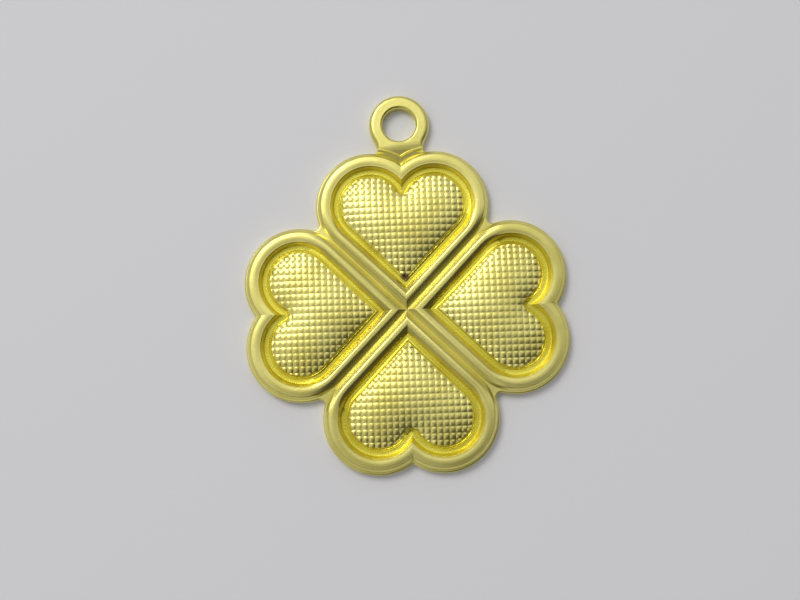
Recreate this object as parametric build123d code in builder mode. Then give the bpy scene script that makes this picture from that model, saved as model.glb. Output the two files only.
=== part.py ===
from math import acos, atan2, cos, hypot, pi, radians, sin, sqrt, tan
import os

from build123d import *

os.makedirs("parts", exist_ok=True)

# All sizes are millimetres. The charm lies face up: X to the right, Y towards
# the hanging loop, Z out of the face, and Z = 0 on the flat of the back.
# The middle of the clover, where the four heart tips meet, is X = Y = 0.

# A heart is two round lobes and two straight flanks that meet at its tip.
lobe_reach = 5.62          # clover middle to the lobe centres, along the leaf
lobe_spread = 1.70         # leaf's centre line to each lobe centre
# Nested heart lines, each given by the radius of its two lobes
ledge_radius = 3.10        # struck ledge, seen where it crosses the tab
edge_radius = 2.91         # trimmed edge of the charm
rim_foot_radius = 2.80     # outer foot of the raised rim
rim_inner_radius = 1.92    # inner foot of the rim; inside it the cleft is rounded
dome_radius = 1.55         # foot of the puffed heart

# The edge was trimmed a little low of the struck face
trim_drop = 0.05
cleft_rounding = 0.15
web_rounding = 0.27
edge_rounding = 0.15

# Heights of the pressed sheet
sheet = 0.55
core_height = 0.30         # level inside the sheet that the raised shapes are built up from
ledge_height = 0.47
moat_height = 0.40
rim_height = 0.72
rim_rounding = 0.16
outer_slope = 38           # degrees off the flat
inner_slope = 45           # degrees off the flat
dome_height = 0.80
dome_curve = 22.0          # radius of the dome's top
dome_middle = 4.90         # highest point of the dome, from the clover's middle
dome_shoulder = 0.14

# Hanging loop
loop_reach = 10.00
loop_radius = 1.62
hole_radius = 0.90
hole_rounding = 0.12
tab_half_width = 1.24
tab_neck = 8.72
tab_root = 6.00
root_rounding = 0.18

# Hollows of the back, where the sheet follows the face
channel_outer_radius = 2.46
channel_inner_radius = 2.16
channel_depth = 0.18
channel_rounding = 0.10
pocket_radius = 1.40
pocket_depth = 0.24
pocket_rounding = 0.16

# Corners of the outline are told apart by where they lie
near = 0.01

HALF = sqrt(0.5)
diagonal_gap = (lobe_reach - lobe_spread) * HALF
# The tab's sides leave the loop where they touch its circle
neck_angle = atan2(tab_neck - loop_reach, tab_half_width)
touch_angle = neck_angle + acos(loop_radius / hypot(tab_half_width, loop_reach - tab_neck))
touch = (loop_radius * cos(touch_angle), loop_reach + loop_radius * sin(touch_angle))


def heart(radius):
    """A heart line with its tip towards the origin and its lobes along +X."""
    tip = ((diagonal_gap - radius) / HALF, 0)
    flank = (lobe_reach - radius * HALF, lobe_spread + radius * HALF)
    shoulder = (lobe_reach + radius * HALF, lobe_spread + radius * HALF)
    with BuildSketch(mode=Mode.PRIVATE) as outline:
        with BuildLine():
            Line(tip, flank)
            if radius >= rim_inner_radius:
                cleft = (lobe_reach + sqrt(radius**2 - lobe_spread**2), 0)
                ThreePointArc(flank, shoulder, cleft)
            else:
                # Inside the rim the cleft turns about the rim's own corner
                corner = lobe_reach + sqrt(rim_inner_radius**2 - lobe_spread**2)
                turn = rim_inner_radius - radius
                share = radius / rim_inner_radius
                start = (lobe_reach + (corner - lobe_reach) * share, lobe_spread * (1 - share))
                angle = (atan2(start[1], start[0] - corner) + pi) / 2
                middle = (corner + turn * cos(angle), turn * sin(angle))
                ThreePointArc(flank, shoulder, start)
                ThreePointArc(start, middle, (corner - turn, 0))
            mirror(about=Plane.XZ)
        make_face()
    return outline.sketch


# Raised rim of one leaf, a low ridge with sloping sides that follows the heart
rim_top_radius = rim_foot_radius - (rim_height - ledge_height) / tan(radians(outer_slope))
moat_top_radius = rim_inner_radius + (rim_height - moat_height) / tan(radians(inner_slope))
with BuildPart() as rim:
    with BuildSketch(Plane.XY.offset(core_height)):
        add(heart(rim_foot_radius))
    extrude(amount=ledge_height - core_height)
    with BuildSketch(Plane.XY.offset(ledge_height)):
        add(heart(rim_foot_radius))
    with BuildSketch(Plane.XY.offset(rim_height)):
        add(heart(rim_top_radius))
    loft(ruled=True)
    with BuildSketch(Plane.XY.offset(moat_height)):
        add(heart(rim_inner_radius))
    with BuildSketch(Plane.XY.offset(rim_height)):
        add(heart(moat_top_radius))
    loft(ruled=True, mode=Mode.SUBTRACT)
    rim_top = rim.faces().filter_by(Axis.Z).sort_by(Axis.Z)[-1]
    fillet(rim_top.edges(), radius=rim_rounding)

# Puffed heart inside the rim
with BuildPart() as dome:
    with BuildSketch(Plane.XY.offset(core_height)):
        add(heart(dome_radius))
    extrude(amount=dome_height)
    with Locations((dome_middle, 0, dome_height - dome_curve)):
        Sphere(dome_curve, mode=Mode.INTERSECT)
    fillet(dome.faces().sort_by(Axis.Z)[-1].outer_wire().edges(), radius=dome_shoulder)

# Hollow side of one leaf: a channel behind the rim and a pocket behind the dome
with BuildPart() as channel:
    with BuildSketch():
        add(heart(channel_outer_radius))
        add(heart(channel_inner_radius), mode=Mode.SUBTRACT)
    extrude(amount=channel_depth)
    fillet(channel.faces().sort_by(Axis.Z)[-1].edges(), radius=channel_rounding)

with BuildPart() as pocket:
    with BuildSketch():
        add(heart(pocket_radius))
    extrude(amount=pocket_depth)
    fillet(pocket.faces().sort_by(Axis.Z)[-1].edges(), radius=pocket_rounding)

# The whole charm: one pressed sheet with its loop
with BuildPart() as clover_pendant:
    with BuildSketch() as blank:
        with Locations((0, -trim_drop)):
            with PolarLocations(0, 4):
                add(heart(edge_radius))
        clefts = blank.vertices().filter_by(lambda v: abs(v.X * (v.Y + trim_drop)) < near)
        fillet(clefts.filter_by(lambda v: abs(v.X) + abs(v.Y) > lobe_reach), radius=cleft_rounding)
        webs = blank.vertices().filter_by(lambda v: abs(abs(v.X) - abs(v.Y + trim_drop)) < near)
        fillet(webs, radius=web_rounding)
        with BuildLine():
            Polyline(
                (-tab_half_width, tab_root),
                (-tab_half_width, tab_neck),
                (-touch[0], touch[1]),
                touch,
                (tab_half_width, tab_neck),
                (tab_half_width, tab_root),
                close=True,
            )
        make_face()
        with Locations((0, loop_reach)):
            Circle(loop_radius)
        tab_corners = blank.vertices().filter_by(lambda v: abs(abs(v.X) - tab_half_width) < near)
        fillet(tab_corners.filter_by(lambda v: v.Y > lobe_reach), radius=root_rounding)
        with Locations((0, loop_reach)):
            Circle(hole_radius, mode=Mode.SUBTRACT)
    extrude(amount=sheet)
    face = clover_pendant.faces().sort_by(Axis.Z)[-1]
    fillet(face.outer_wire().edges(), radius=edge_rounding)
    face = clover_pendant.faces().filter_by(Axis.Z).sort_by(Axis.Z)[-1]
    fillet(face.inner_wires()[0].edges(), radius=hole_rounding)
    # The strike presses the face inside the ledge line below the loop's level
    with BuildSketch(Plane.XY.offset(ledge_height)):
        add(heart(ledge_radius), rotation=90)
        with Locations((0, tab_root)):
            Rectangle(2 * loop_reach, 2 * loop_reach, align=(Align.CENTER, Align.MAX))
    extrude(amount=sheet, mode=Mode.SUBTRACT)
    with BuildSketch(Plane.XY.offset((core_height + moat_height) / 2)):
        with PolarLocations(0, 4):
            add(heart(moat_top_radius))
    extrude(amount=sheet, mode=Mode.SUBTRACT)
    with PolarLocations(0, 4):
        add(rim.part)
        add(dome.part)
        add(channel.part, mode=Mode.SUBTRACT)
        add(pocket.part, mode=Mode.SUBTRACT)
clover_pendant.part.label = "clover_pendant"
export_step(clover_pendant.part, "parts/clover_pendant.step")
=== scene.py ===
from math import atan2, cos, pi, radians, sin, sqrt, tan
import random

import bmesh
import bpy
from mathutils import Matrix, Vector
import numpy


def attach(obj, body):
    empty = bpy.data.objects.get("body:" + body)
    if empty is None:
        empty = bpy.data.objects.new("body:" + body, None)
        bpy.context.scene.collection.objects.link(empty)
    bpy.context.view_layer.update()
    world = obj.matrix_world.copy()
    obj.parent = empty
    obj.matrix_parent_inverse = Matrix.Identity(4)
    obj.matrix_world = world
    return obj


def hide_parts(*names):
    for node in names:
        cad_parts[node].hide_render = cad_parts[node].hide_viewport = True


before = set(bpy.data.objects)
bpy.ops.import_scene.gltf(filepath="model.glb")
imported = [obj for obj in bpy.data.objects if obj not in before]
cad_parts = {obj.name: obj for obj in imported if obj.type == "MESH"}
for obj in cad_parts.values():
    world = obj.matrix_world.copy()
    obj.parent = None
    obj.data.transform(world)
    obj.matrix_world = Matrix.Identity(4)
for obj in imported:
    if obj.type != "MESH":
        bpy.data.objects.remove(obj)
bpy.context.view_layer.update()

# Blanked sheet
# The charm is one piece of raw brass, blanked from half-millimetre sheet: four leaves of two
# round lobes each, with small hollows between them.
# Sizes are millimetres, with the clover's middle at 0, 0 and the flat of the back at height 0.
lobe_reach = 5.62
lobe_spread = 1.70
edge_radius = 2.91
trim_drop = 0.05
cleft_rounding = 0.15
web_rounding = 0.27
ledge_height = 0.47
edge_softening = 0.10
seam = 0.0005
whisker = 0.00001
arc_fineness = radians(4)
fewest_steps = 6


def line(bm, pen, x, y, z=0.0):
    """Draws a straight line from the pen by the given step."""
    drawn = bmesh.ops.extrude_vert_indiv(bm, verts=[pen])["verts"][0]
    bmesh.ops.translate(bm, verts=[drawn], vec=(x, y, z))
    return drawn


def swing(bm, drawn, centre, angle, axis=(0, 0, 1)):
    """Carries what is drawn round a centre and returns its copy at the far end."""
    steps = max(round(abs(angle) / arc_fineness), fewest_steps)
    return bmesh.ops.spin(bm, geom=drawn, cent=centre, axis=axis, angle=angle, steps=steps)["geom_last"]


def arc(bm, pen, centre, towards, way_round):
    """Draws an arc about a centre until the pen lies towards a point: 1 turns left, -1 right."""
    start = pen.co.xy - centre
    end = towards - centre
    turn = (way_round * (atan2(end.y, end.x) - atan2(start.y, start.x))) % (2 * pi)
    last = swing(bm, [pen], (centre.x, centre.y, 0), way_round * turn)
    return [v for v in last if isinstance(v, bmesh.types.BMVert)][0]


def hollow_centre(lobe, next_lobe, rounding):
    """Centre of the small round between two lobes, on the right of the way to the next one."""
    way = next_lobe - lobe
    aside = sqrt((edge_radius + rounding) ** 2 - way.length_squared / 4)
    return lobe + way / 2 + Vector((way.y, -way.x)).normalized() * aside


def solid_from_outline(bm, height):
    """Mirrors half an outline across the charm's centre line, fills it and gives it thickness."""
    bmesh.ops.mirror(bm, geom=bm.verts[:] + bm.edges[:], axis="X", merge_dist=seam)
    bmesh.ops.remove_doubles(bm, verts=bm.verts, dist=seam)
    plate = bmesh.ops.edgeloop_fill(bm, edges=bm.edges[:])["faces"]
    raised = bmesh.ops.extrude_face_region(bm, geom=plate)["geom"]
    top = [g for g in raised if isinstance(g, bmesh.types.BMVert)]
    bmesh.ops.translate(bm, verts=top, vec=(0, 0, height))
    bmesh.ops.recalc_face_normals(bm, faces=bm.faces)
    return [g for g in raised if isinstance(g, bmesh.types.BMFace)][0]


def soften(bm, edges, size, segments):
    bmesh.ops.bevel(
        bm, geom=edges, offset=size, segments=segments, profile=0.5, affect="EDGES", material=-1
    )


def stock(bm, name):
    """Puts a finished shape in the scene as an object."""
    bmesh.ops.recalc_face_normals(bm, faces=bm.faces)
    mesh = bpy.data.meshes.new(name)
    bm.to_mesh(mesh)
    bm.free()
    made = bpy.data.objects.new(name, mesh)
    bpy.context.scene.collection.objects.link(made)
    return made


lobes = [
    Vector((x, y - trim_drop))
    for x, y in (
        (-lobe_spread, -lobe_reach),
        (lobe_spread, -lobe_reach),
        (lobe_reach, -lobe_spread),
        (lobe_reach, lobe_spread),
        (lobe_spread, lobe_reach),
        (-lobe_spread, lobe_reach),
    )
]
roundings = (cleft_rounding, web_rounding, cleft_rounding, web_rounding, cleft_rounding)
hollows = [hollow_centre(a, b, size) for a, b, size in zip(lobes, lobes[1:], roundings)]
sheet = bmesh.new()
pen = sheet.verts.new((0, hollows[0].y + cleft_rounding, 0))
for hollow, lobe, next_hollow in zip(hollows, lobes[1:], hollows[1:]):
    pen = arc(sheet, pen, hollow, lobe, -1)
    pen = arc(sheet, pen, lobe, next_hollow, 1)
arc(sheet, pen, hollows[-1], hollows[-1] - Vector((0, 1)), -1)
sheet_top = solid_from_outline(sheet, ledge_height)
soften(sheet, sheet_top.edges[:], edge_softening, 4)
charm = stock(sheet, "clover_charm")

# Tab and loop
# The strike presses the clover's ledge below the sheet's own level, so the tab and the loop stand
# a little higher, with a fine raised line where the step crosses the tab as a shallow V.
loop_reach = 10.0
loop_radius = 1.62
tab_half_width = 1.24
root_rounding = 0.18
root_bite = 0.01
neck_flare = 1.0
tab_height = 0.55
tab_softening = 0.26
tab_foot = 7.9
tab_dips = ((9.05, radians(4)), (8.85, radians(10)), (8.62, radians(17)))
step_radius = 2.98
step_lean = 0.12
line_radius = 3.13
line_half_width = 0.06
line_height = 0.53
line_slope = 0.12
hole_radius = 0.90
hole_rounding = 0.16
rim_inner_radius = 1.96
leaf_lobe = Vector((lobe_reach, lobe_spread, 0))
cleft = Vector((lobe_reach + sqrt(rim_inner_radius**2 - lobe_spread**2), 0, 0))
flank_side = radians(135)
flank_out = Vector((cos(flank_side), sin(flank_side)))
cleft_side = atan2(-lobe_spread, cleft.x - lobe_reach)


def sweep_leaf(section, closed):
    """Carries a section round one leaf: its flank, its lobe and, inside the rim, its cleft.

    The section's points are (distance from the lobe's centre, height). The tip of the leaf is
    at the clover's middle and its lobes lie along +X."""
    bm = bmesh.new()
    points = [
        bm.verts.new(leaf_lobe + Vector((reach * cos(flank_side), reach * sin(flank_side), height)))
        for reach, height in section
    ]
    reaches = {point: reach for point, (reach, height) in zip(points, section)}
    follows = points[1:] + points[:1] if closed else points[1:]
    drawn = [bm.edges.new(pair) for pair in zip(points, follows)]
    flank = (lobe_spread + max(reaches.values())) * 2
    run = bmesh.ops.extrude_edge_only(bm, edges=drawn)["geom"]
    ends = [g for g in run if isinstance(g, bmesh.types.BMVert)]
    bmesh.ops.translate(bm, verts=ends, vec=(-flank * sqrt(0.5), -flank * sqrt(0.5), 0))
    last = swing(bm, points + drawn, leaf_lobe, cleft_side - flank_side)
    inner = [g for g in last if all(is_inside_rim(v) for v in (g.verts if hasattr(g, "verts") else [g]))]
    if inner:
        swing(bm, inner, cleft, -cleft_side)
    bmesh.ops.bisect_plane(
        bm, geom=bm.verts[:] + bm.edges[:] + bm.faces[:], dist=seam, plane_co=(0, 0, 0), plane_no=(0, 1, 0), clear_inner=True
    )
    bmesh.ops.mirror(bm, geom=bm.verts[:] + bm.edges[:] + bm.faces[:], axis="Y", merge_dist=seam)
    bmesh.ops.remove_doubles(bm, verts=bm.verts, dist=seam)
    if not closed:
        bmesh.ops.holes_fill(bm, edges=[e for e in bm.edges if e.is_boundary])
    bmesh.ops.recalc_face_normals(bm, faces=bm.faces)
    return bm


def is_inside_rim(vert):
    return (vert.co.xy - leaf_lobe.xy).length < rim_inner_radius + seam


def turned(bm, quarters):
    bmesh.ops.rotate(bm, verts=bm.verts, cent=(0, 0, 0), matrix=Matrix.Rotation(quarters * pi / 2, 3, "Z"))
    return bm


def four(bm, name):
    """Repeats a leaf's shape on all four leaves."""
    leaf = bm.verts[:] + bm.edges[:] + bm.faces[:]
    for quarter in (1, 2, 3):
        copy = bmesh.ops.duplicate(bm, geom=leaf)["geom"]
        verts = [g for g in copy if isinstance(g, bmesh.types.BMVert)]
        bmesh.ops.rotate(bm, verts=verts, cent=(0, 0, 0), matrix=Matrix.Rotation(quarter * pi / 2, 3, "Z"))
    return stock(bm, name)


def press(work, tool, operation):
    """Joins, cuts or trims the work with a tool, and takes the tool away."""
    modifier = work.modifiers.new("press", "BOOLEAN")
    modifier.operation = operation
    modifier.solver = "EXACT"
    modifier.object = tool
    bpy.context.view_layer.update()
    seen = work.evaluated_get(bpy.context.evaluated_depsgraph_get())
    pressed = bmesh.new()
    pressed.from_mesh(bpy.data.meshes.new_from_object(seen))
    bmesh.ops.remove_doubles(pressed, verts=pressed.verts, dist=whisker)
    work.modifiers.clear()
    pressed.to_mesh(work.data)
    pressed.free()
    bpy.data.objects.remove(tool)


# The tab's side grows out of the lobe beside it with a small round, and flares into the loop
lobe = lobes[-2]
root_x = tab_half_width + root_rounding
root_rise = sqrt((edge_radius + root_rounding - root_bite) ** 2 - (root_x - lobe.x) ** 2)
tab_root = Vector((root_x, lobe.y + root_rise))
root_start = tab_root + (lobe - tab_root).normalized() * root_rounding
loop_middle = Vector((0, loop_reach))
neck_x = tab_half_width + neck_flare
neck = Vector((neck_x, loop_reach - sqrt((loop_radius + neck_flare) ** 2 - neck_x**2)))
tab_shape = bmesh.new()
pen = tab_shape.verts.new((0, tab_foot, 0))
pen = line(tab_shape, pen, root_start.x, 0)
pen = line(tab_shape, pen, 0, root_start.y - tab_foot)
pen = arc(tab_shape, pen, tab_root, tab_root - Vector((1, 0)), -1)
pen = line(tab_shape, pen, 0, neck.y - pen.co.y)
pen = arc(tab_shape, pen, neck, loop_middle, -1)
arc(tab_shape, pen, loop_middle, loop_middle + Vector((0, 1)), 1)
tab_top = solid_from_outline(tab_shape, tab_height)
soften(tab_shape, tab_top.edges[:], tab_softening, 5)
level = tab_height
last_reach = tab_dips[0][0]
last_fall = 0
for reach, dip in tab_dips:
    level -= (last_reach - reach) * last_fall
    last_reach = reach
    last_fall = tan(dip)
    whole = tab_shape.verts[:] + tab_shape.edges[:] + tab_shape.faces[:]
    below = (0, reach, level)
    bmesh.ops.bisect_plane(
        tab_shape, geom=whole, dist=seam, plane_co=below, plane_no=(0, -sin(dip), cos(dip)), clear_outer=True
    )
    bmesh.ops.holes_fill(tab_shape, edges=[e for e in tab_shape.edges if e.is_boundary])
tab = stock(tab_shape, "tab")
strike = sweep_leaf(
    [(step_radius, ledge_height - 0.03), (step_radius + step_lean, tab_height + 0.1)], closed=False
)
press(tab, stock(turned(strike, 1), "strike"), "DIFFERENCE")
press(charm, tab, "UNION")

line_section = [
    (line_radius + line_half_width, 0.3),
    (line_radius + line_half_width, line_height - 0.05),
    (line_radius + line_half_width * 0.4, line_height),
    (line_radius - line_half_width * 0.4, line_height),
    (line_radius - line_half_width, line_height - 0.05),
    (line_radius - line_half_width, 0.3),
]
v_line = turned(sweep_leaf(line_section, closed=True), 1)
for side_x in (-1, 1):
    whole = v_line.verts[:] + v_line.edges[:] + v_line.faces[:]
    edge_of_tab = (side_x * (tab_half_width - 0.06), 0, 0)
    bmesh.ops.bisect_plane(v_line, geom=whole, dist=seam, plane_co=edge_of_tab, plane_no=(side_x, 0, 0), clear_outer=True)
whole = v_line.verts[:] + v_line.edges[:] + v_line.faces[:]
bmesh.ops.bisect_plane(v_line, geom=whole, dist=seam, plane_co=(0, tab_foot, 0), plane_no=(0, -1, 0), clear_outer=True)
bmesh.ops.holes_fill(v_line, edges=[e for e in v_line.edges if e.is_boundary])
for vert in v_line.verts:
    if vert.co.z > 0.4:
        vert.co.z -= max(tab_dips[-1][0] - vert.co.y, 0) * line_slope
press(charm, stock(v_line, "raised line"), "UNION")

hole = bmesh.new()
pen = hole.verts.new((hole_radius, 0, -0.1))
lip = tab_height + 0.004 - hole_rounding
pen = line(hole, pen, 0, 0, 0.1 + lip)
last = swing(hole, [pen], (hole_radius + hole_rounding, 0, lip), pi / 2, (0, 1, 0))
pen = [v for v in last if isinstance(v, bmesh.types.BMVert)][0]
line(hole, pen, 0, 0, 0.2)
bmesh.ops.spin(
    hole, geom=hole.verts[:] + hole.edges[:], cent=(0, 0, 0), axis=(0, 0, 1), angle=2 * pi, steps=72, use_merge=True
)
bmesh.ops.remove_doubles(hole, verts=hole.verts, dist=seam)
bmesh.ops.holes_fill(hole, edges=[e for e in hole.edges if e.is_boundary])
bmesh.ops.translate(hole, verts=hole.verts, vec=(0, loop_reach, 0))
press(charm, stock(hole, "hole"), "DIFFERENCE")

# Heart rims
# Each leaf has a raised rim, struck in one with the sheet: a broad, gently rounded band round the
# lobes that narrows to a ridge along the flanks. Inside it runs a bright moat with a fine line.
crest_radius = 2.32
crest_half_width = 0.07
rim_height = 0.72
rim_foot_radius = 2.80
ridge_outer_steepness = 0.82
ridge_inner_steepness = 0.98
ridge_softness = 0.06
band_outer_radius = 2.62
band_inner_radius = 2.14
band_outer_steepness = 1.5
band_inner_steepness = 2.2
band_softness = 0.04
band_sag = 0.02
band_fade = radians(40)
rim_points = 20
moat_cut_radius = 2.2
moat_height = 0.385
buried_height = 0.20
die_line_height = 0.03
moat_edge = 1.45


def is_beside_flank(out):
    """Whether a step out from the lobe's centre ends beside the leaf's straight flank."""
    return out.x + out.y < 0 and out.y > out.x


def fall(past, steepness, softness):
    """How far a surface has dropped at a distance past its soft edge."""
    past = max(past, 0)
    return steepness * (sqrt(past**2 + softness**2) - softness)


def ridge_at(radius):
    past = abs(radius - crest_radius) - crest_half_width
    steepness = ridge_outer_steepness if radius > crest_radius else ridge_inner_steepness
    return rim_height - fall(past, steepness, ridge_softness)


def band_at(radius):
    sag = band_sag * min(abs(radius - (band_outer_radius + band_inner_radius) / 2) / 0.2, 1) ** 2
    outwards = fall(radius - band_outer_radius, band_outer_steepness, band_softness)
    inwards = fall(band_inner_radius - radius, band_inner_steepness, band_softness)
    return rim_height - sag - outwards - inwards


rim_levels = [
    rim_foot_radius + (rim_inner_radius - rim_foot_radius) * step / (rim_points - 1)
    for step in range(rim_points)
]
moat = [
    (1.89, moat_height - 0.02),
    (1.74, moat_height - 0.02),
    (1.68, moat_height + die_line_height * 0.6),
    (1.65, moat_height + die_line_height),
    (1.62, moat_height + die_line_height * 0.6),
    (1.58, moat_height - 0.02),
    (moat_edge, moat_height - 0.02),
]
under = [(level, buried_height) for level in (moat_edge, rim_inner_radius, crest_radius, rim_foot_radius)]
rim_section = [(level, rim_height) for level in rim_levels] + moat + under
rim_shape = sweep_leaf(rim_section, closed=True)
for vert in rim_shape.verts:
    if vert.co.z > rim_height - seam:
        out = Vector((vert.co.x, abs(vert.co.y))) - leaf_lobe.xy
        if is_beside_flank(out):
            vert.co.z = ridge_at(out.dot(flank_out))
        else:
            turn = min((flank_side - atan2(out.y, out.x)) / band_fade, 1)
            share = turn * turn * (3 - 2 * turn)
            vert.co.z = ridge_at(out.length) * (1 - share) + band_at(out.length) * share
rims = four(rim_shape, "rims")
moat_cut = sweep_leaf([(moat_cut_radius, (buried_height + moat_height) / 2), (moat_cut_radius, 1)], closed=False)
press(charm, four(moat_cut, "moat cut"), "DIFFERENCE")
press(charm, rims, "UNION")

# Knurled hearts
# Inside each rim the sheet is puffed up as a heart and knurled with rows of small square pillows,
# which run straight across the whole charm.
dome_radius = 1.55
dome_foot = 0.38
dome_height = 0.76
dome_power = 0.62
knurl_across = 0.325
knurl_along = 0.345
knurl_height = 0.029
knurl_squareness = 2.3
knurl_edge_bite = 1.5
knurl_facets = 8
lattice = 0.05


def leaf_level(along, across):
    """Which of the leaf's nested heart lines a point lies on, as the radius of its lobes."""
    u = along - lobe_reach
    v = abs(across) - lobe_spread
    if u + v < 0 and (v > u or u < 0):
        return (v - u) * sqrt(0.5)
    if along < cleft.x and v < 0 and u * lobe_spread < -v * (cleft.x - lobe_reach):
        return rim_inner_radius - sqrt((along - cleft.x) ** 2 + across**2)
    return sqrt(u * u + v * v)


def puffed_lattice(radius):
    """How far a skin held along a heart line and blown up stands at each point, from 0 to 1."""
    across = numpy.arange(-3.6, 3.6 + lattice / 2, lattice)
    along = numpy.arange(0.8, 8.0 + lattice / 2, lattice)
    free = numpy.array([[leaf_level(a, c) < radius for c in across] for a in along])
    skin = numpy.zeros(free.shape)
    for blow in range(3000):
        middle = (skin[2:, 1:-1] + skin[:-2, 1:-1] + skin[1:-1, 2:] + skin[1:-1, :-2]) / 4
        skin[1:-1, 1:-1] = (middle + 0.001) * free[1:-1, 1:-1]
    return skin / skin.max()


puff = puffed_lattice(dome_radius + 0.1)


def puff_at(along, across):
    row = (along - 0.8) / lattice
    column = (across + 3.6) / lattice
    r = min(max(int(row), 0), puff.shape[0] - 2)
    c = min(max(int(column), 0), puff.shape[1] - 2)
    fr = row - r
    fc = column - c
    low = puff[r, c] * (1 - fc) + puff[r, c + 1] * fc
    high = puff[r + 1, c] * (1 - fc) + puff[r + 1, c + 1] * fc
    return max(low * (1 - fr) + high * fr, 0)


def in_leaf(x, y, quarter):
    """A point of the charm in the leaf's own frame, as (along the leaf, across it)."""
    turns = [(x, y), (y, -x), (-x, -y), (-y, x)]
    return turns[quarter]


chance = random.Random(11)
hearts = bmesh.new()
for quarter in range(4):
    sideways = quarter % 2 == 1
    middle_along = 4.45
    cells = 22
    middle = [(middle_along, 0), (0, middle_along), (-middle_along, 0), (0, -middle_along)][quarter]
    across_shift = chance.uniform(0, 1)
    along_shift = chance.uniform(0, 1)
    steps = cells * knurl_facets
    grid = bmesh.ops.create_grid(hearts, x_segments=steps, y_segments=steps, size=1)["verts"]
    bumps = {}
    for vert in grid:
        column = round((vert.co.x + 1) / 2 * steps)
        row = round((vert.co.y + 1) / 2 * steps)
        x = middle[0] + (column / knurl_facets - cells / 2) * knurl_across
        y = middle[1] + (row / knurl_facets - cells / 2) * knurl_along
        cell = (column // knurl_facets, row // knurl_facets)
        if cell not in bumps:
            bumps[cell] = knurl_height * chance.uniform(0.8, 1.0)
        fx = abs(column % knurl_facets / knurl_facets * 2 - 1)
        fy = abs(row % knurl_facets / knurl_facets * 2 - 1)
        pillow = (1 - fx**knurl_squareness) * (1 - fy**knurl_squareness)
        along, across = in_leaf(x, y, quarter)
        lift = puff_at(along, across) ** dome_power
        bump = bumps[cell] * pillow * (1 + knurl_edge_bite * (1 - min(lift, 1)) ** 2)
        vert.co = (x, y, dome_foot + (dome_height - dome_foot) * lift + bump)
    bmesh.ops.delete(
        hearts,
        geom=[v for v in grid if leaf_level(*in_leaf(v.co.x, v.co.y, quarter)) > dome_radius + 0.05],
        context="VERTS",
    )
skirt = bmesh.ops.extrude_edge_only(hearts, edges=[e for e in hearts.edges if e.is_boundary])["geom"]
for vert in skirt:
    if isinstance(vert, bmesh.types.BMVert):
        vert.co.z = buried_height
bmesh.ops.holes_fill(hearts, edges=[e for e in hearts.edges if e.is_boundary])
domes = stock(hearts, "domes")
trimmer = four(sweep_leaf([(dome_radius, buried_height - 0.05), (dome_radius, 1.4)], closed=False), "trimmer")
press(domes, trimmer, "INTERSECT")
press(charm, domes, "UNION")

# Hollow back
# The back follows the face of the pressed sheet: a channel behind each rim and a pocket behind
# each puffed heart.
channel_outer_radius = 2.46
channel_inner_radius = 2.16
channel_depth = 0.18
channel_rounding = 0.12
pocket_radius = 1.40
pocket_depth = 0.24
channel_section = [
    (channel_outer_radius, -0.1),
    (channel_outer_radius, channel_depth - channel_rounding),
    (channel_outer_radius - channel_rounding * 0.3, channel_depth - channel_rounding * 0.3),
    (channel_outer_radius - channel_rounding, channel_depth),
    (crest_radius, channel_depth),
    (channel_inner_radius + channel_rounding, channel_depth),
    (channel_inner_radius + channel_rounding * 0.3, channel_depth - channel_rounding * 0.3),
    (channel_inner_radius, channel_depth - channel_rounding),
    (channel_inner_radius, -0.1),
    (crest_radius, -0.1),
]
pocket_section = [
    (pocket_radius, -0.1),
    (pocket_radius, pocket_depth - 0.18),
    (pocket_radius - 0.04, pocket_depth - 0.09),
    (pocket_radius - 0.12, pocket_depth - 0.03),
    (pocket_radius - 0.22, pocket_depth),
]
press(charm, four(sweep_leaf(pocket_section, closed=False), "pockets"), "DIFFERENCE")
press(charm, four(sweep_leaf(channel_section, closed=True), "channels"), "DIFFERENCE")

# Raw brass
# Satin tumbled brass on the rims, the loop and the back, shinier in the moats, and burnished by
# the die on the knurl. The moats' deeper yellow is painted light bounced between their walls. A brown speck of tarnish
# sits at the tip of the heart next to the loop.
speck_place = (-0.02, 1.78, 0.40)
speck_radius = 0.34
speck_colour = (0.20, 0.11, 0.05, 1)


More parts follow.
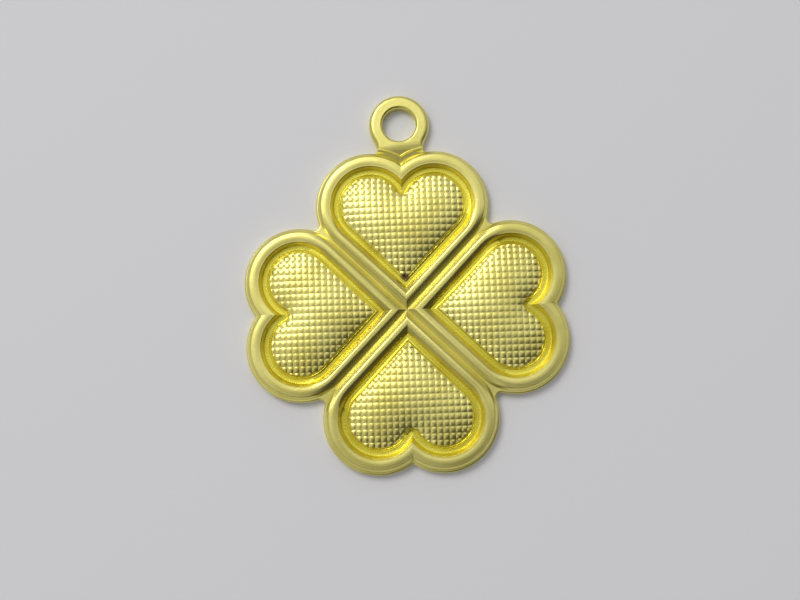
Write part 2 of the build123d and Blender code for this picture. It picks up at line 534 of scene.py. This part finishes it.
def brass(name, colour, tarnish, roughness, grain):
    made = bpy.data.materials.new(name)
    made.use_nodes = True
    nodes = made.node_tree.nodes
    links = made.node_tree.links
    shader = nodes["Principled BSDF"]
    shader.inputs["Metallic"].default_value = 1.0
    place = nodes.new("ShaderNodeTexCoord")
    millimetres = nodes.new("ShaderNodeMapping")
    millimetres.inputs["Scale"].default_value = (1000, 1000, 1000)
    links.new(place.outputs["Object"], millimetres.inputs["Vector"])
    clouds = nodes.new("ShaderNodeTexNoise")
    clouds.inputs["Scale"].default_value = 0.5
    clouds.inputs["Detail"].default_value = 4
    links.new(millimetres.outputs["Vector"], clouds.inputs["Vector"])
    tone = nodes.new("ShaderNodeValToRGB")
    tone.color_ramp.elements[0].position = 0.35
    tone.color_ramp.elements[0].color = (*tarnish, 1)
    tone.color_ramp.elements[1].position = 0.62
    tone.color_ramp.elements[1].color = (*colour, 1)
    links.new(clouds.outputs["Fac"], tone.inputs["Fac"])
    from_speck = nodes.new("ShaderNodeVectorMath")
    from_speck.operation = "DISTANCE"
    from_speck.inputs[1].default_value = speck_place
    links.new(millimetres.outputs["Vector"], from_speck.inputs[0])
    speck = nodes.new("ShaderNodeMapRange")
    speck.interpolation_type = "SMOOTHSTEP"
    speck.inputs["From Min"].default_value = speck_radius * 0.3
    speck.inputs["From Max"].default_value = speck_radius
    speck.inputs["To Min"].default_value = 1
    speck.inputs["To Max"].default_value = 0
    links.new(from_speck.outputs["Value"], speck.inputs["Value"])
    stained = nodes.new("ShaderNodeMixRGB")
    stained.inputs["Color2"].default_value = speck_colour
    links.new(speck.outputs["Result"], stained.inputs["Fac"])
    links.new(tone.outputs["Color"], stained.inputs["Color1"])
    links.new(stained.outputs["Color"], shader.inputs["Base Color"])
    frost = nodes.new("ShaderNodeTexNoise")
    frost.inputs["Scale"].default_value = 16
    frost.inputs["Detail"].default_value = 3
    links.new(millimetres.outputs["Vector"], frost.inputs["Vector"])
    dullness = nodes.new("ShaderNodeMapRange")
    dullness.inputs["To Min"].default_value = roughness - 0.06
    dullness.inputs["To Max"].default_value = roughness + 0.06
    links.new(frost.outputs["Fac"], dullness.inputs["Value"])
    links.new(dullness.outputs["Result"], shader.inputs["Roughness"])
    relief = nodes.new("ShaderNodeBump")
    relief.inputs["Strength"].default_value = grain
    relief.inputs["Distance"].default_value = 0.00002
    links.new(frost.outputs["Fac"], relief.inputs["Height"])
    links.new(relief.outputs["Normal"], shader.inputs["Normal"])
    return made


charm.data.materials.clear()
for finish in (
    brass("satin brass", (0.92, 0.84, 0.27), (0.80, 0.72, 0.20), 0.3, 0.4),
    # Deeper yellow than the satin brass: painted bounce light between the moat walls; the lower roughness is the
    # moats' real shinier finish.
    brass("moat brass with painted bounce light", (0.93, 0.83, 0.11), (0.78, 0.66, 0.06), 0.28, 0.5),
    brass("knurled brass", (0.93, 0.85, 0.27), (0.80, 0.70, 0.18), 0.32, 0.2),
):
    charm.data.materials.append(finish)

# Faces of the moats and of the groove where the step crosses the tab take the moat brass, with its painted bounce
# light.
for face in charm.data.polygons:
    x, y, z = face.center
    quarter = (0 if x > 0 else 2) if abs(x) > abs(y) else (1 if y > 0 else 3)
    level = leaf_level(*in_leaf(x, y, quarter))
    face.material_index = 0
    if z > moat_height and level < dome_radius + 0.01:
        face.material_index = 2
    elif moat_height - 0.03 < z < moat_height + 0.06 and level < rim_inner_radius + 0.01:
        face.material_index = 1
    elif z > 0.4 and y > tab_foot and rim_foot_radius < level < step_radius + 0.02:
        face.material_index = 1
    face.use_smooth = True

charm.data.transform(Matrix.Scale(0.001, 4))
charm.data.set_sharp_from_angle(angle=radians(32))
flats = charm.modifiers.new("flats", "WEIGHTED_NORMAL")
flats.keep_sharp = True
flats.weight = 80
bpy.context.view_layer.update()
shaded = bpy.data.meshes.new_from_object(charm.evaluated_get(bpy.context.evaluated_depsgraph_get()))
charm.modifiers.clear()
charm.data = shaded
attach(charm, "root")
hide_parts("clover_pendant")

# Paper
# The charm lies on a sheet of pale grey-white paper.
paper_shape = bmesh.new()
bmesh.ops.create_grid(paper_shape, x_segments=1, y_segments=1, size=0.3)
paper = stock(paper_shape, "paper")
paper_finish = bpy.data.materials.new("paper")
paper_finish.use_nodes = True
paper_nodes = paper_finish.node_tree.nodes
paper_shader = paper_nodes["Principled BSDF"]
paper_shader.inputs["Base Color"].default_value = (0.84, 0.83, 0.85, 1)
paper_shader.inputs["Roughness"].default_value = 0.9
paper.data.materials.append(paper_finish)

# Light
# Soft daylight from the far left and above, dim towards the near right.
sky = bpy.data.worlds.new("room")
sky.use_nodes = True
bpy.context.scene.world = sky
sky_nodes = sky.node_tree.nodes
sky_links = sky.node_tree.links
background = sky_nodes["Background"]
background.inputs["Color"].default_value = (1, 1, 1, 1)
room = sky_nodes.new("ShaderNodeTexCoord")


def side(direction, nearest, furthest, near_value, far_value):
    """Brightness that changes smoothly from near one direction of the room to away from it."""
    facing = sky_nodes.new("ShaderNodeVectorMath")
    facing.operation = "DOT_PRODUCT"
    facing.inputs[1].default_value = Vector(direction).normalized()
    sky_links.new(room.outputs["Generated"], facing.inputs[0])
    change = sky_nodes.new("ShaderNodeMapRange")
    change.interpolation_type = "SMOOTHSTEP"
    change.inputs["From Min"].default_value = cos(furthest)
    change.inputs["From Max"].default_value = cos(nearest)
    change.inputs["To Min"].default_value = far_value
    change.inputs["To Max"].default_value = near_value
    sky_links.new(facing.outputs["Value"], change.inputs["Value"])
    return change.outputs["Result"]


def product(first, second):
    times = sky_nodes.new("ShaderNodeMath")
    times.operation = "MULTIPLY"
    sky_links.new(first, times.inputs[0])
    sky_links.new(second, times.inputs[1])
    return times.outputs["Value"]


bright_room = side((-0.5, 0.6, 0.62), radians(20), radians(130), 0.84, 0.52)
dark_corner = side((0.558, -0.714, 0.423), radians(35), radians(55), 0.14, 1.0)
viewer_shade = side((0, -0.2, 0.98), radians(6), radians(22), 0.4, 1.0)
horizon = side((0, 0, 1), radians(45), radians(80), 1.0, 0.45)
strip_left = side((1, 0, 0), radians(94), radians(108), 1.0, 0.8)
strip_right = side((-1, 0, 0), radians(94), radians(108), 1.0, 0.8)
strip = product(strip_left, strip_right)
room_light = product(product(bright_room, dark_corner), product(horizon, product(viewer_shade, strip)))
sky_links.new(room_light, background.inputs["Strength"])

lamp = bpy.data.lights.new("window", "AREA")
lamp.shape = "DISK"
lamp.size = 0.20
lamp.energy = 0.5
lamp_place = bpy.data.objects.new("window", lamp)
lamp_place.location = (-0.16, 0.20, 0.30)
lamp_place.rotation_euler = (Vector((0, 0, 0)) - lamp_place.location).to_track_quat("-Z", "Y").to_euler()
bpy.context.scene.collection.objects.link(lamp_place)

# Camera
# It looks straight down on the charm from a little below it, turned a little to the right.
view_distance = 0.0459
view_tilt = radians(5.3)
view_roll = radians(2.4)
view_target = Vector((-0.000339, 0.000496, 0.0008))
view = bpy.data.cameras.new("view")
view.sensor_width = 36
view.lens = 39.4
view.clip_start = 0.001
view.clip_end = 5
viewer = bpy.data.objects.new("view", view)
viewer.location = view_target + view_distance * Vector((0, -sin(view_tilt), cos(view_tilt)))
viewer.rotation_euler = (Matrix.Rotation(view_tilt, 3, "X") @ Matrix.Rotation(-view_roll, 3, "Z")).to_euler()
bpy.context.scene.collection.objects.link(viewer)
bpy.context.scene.camera = viewer
bpy.context.scene.view_settings.view_transform = "Standard"
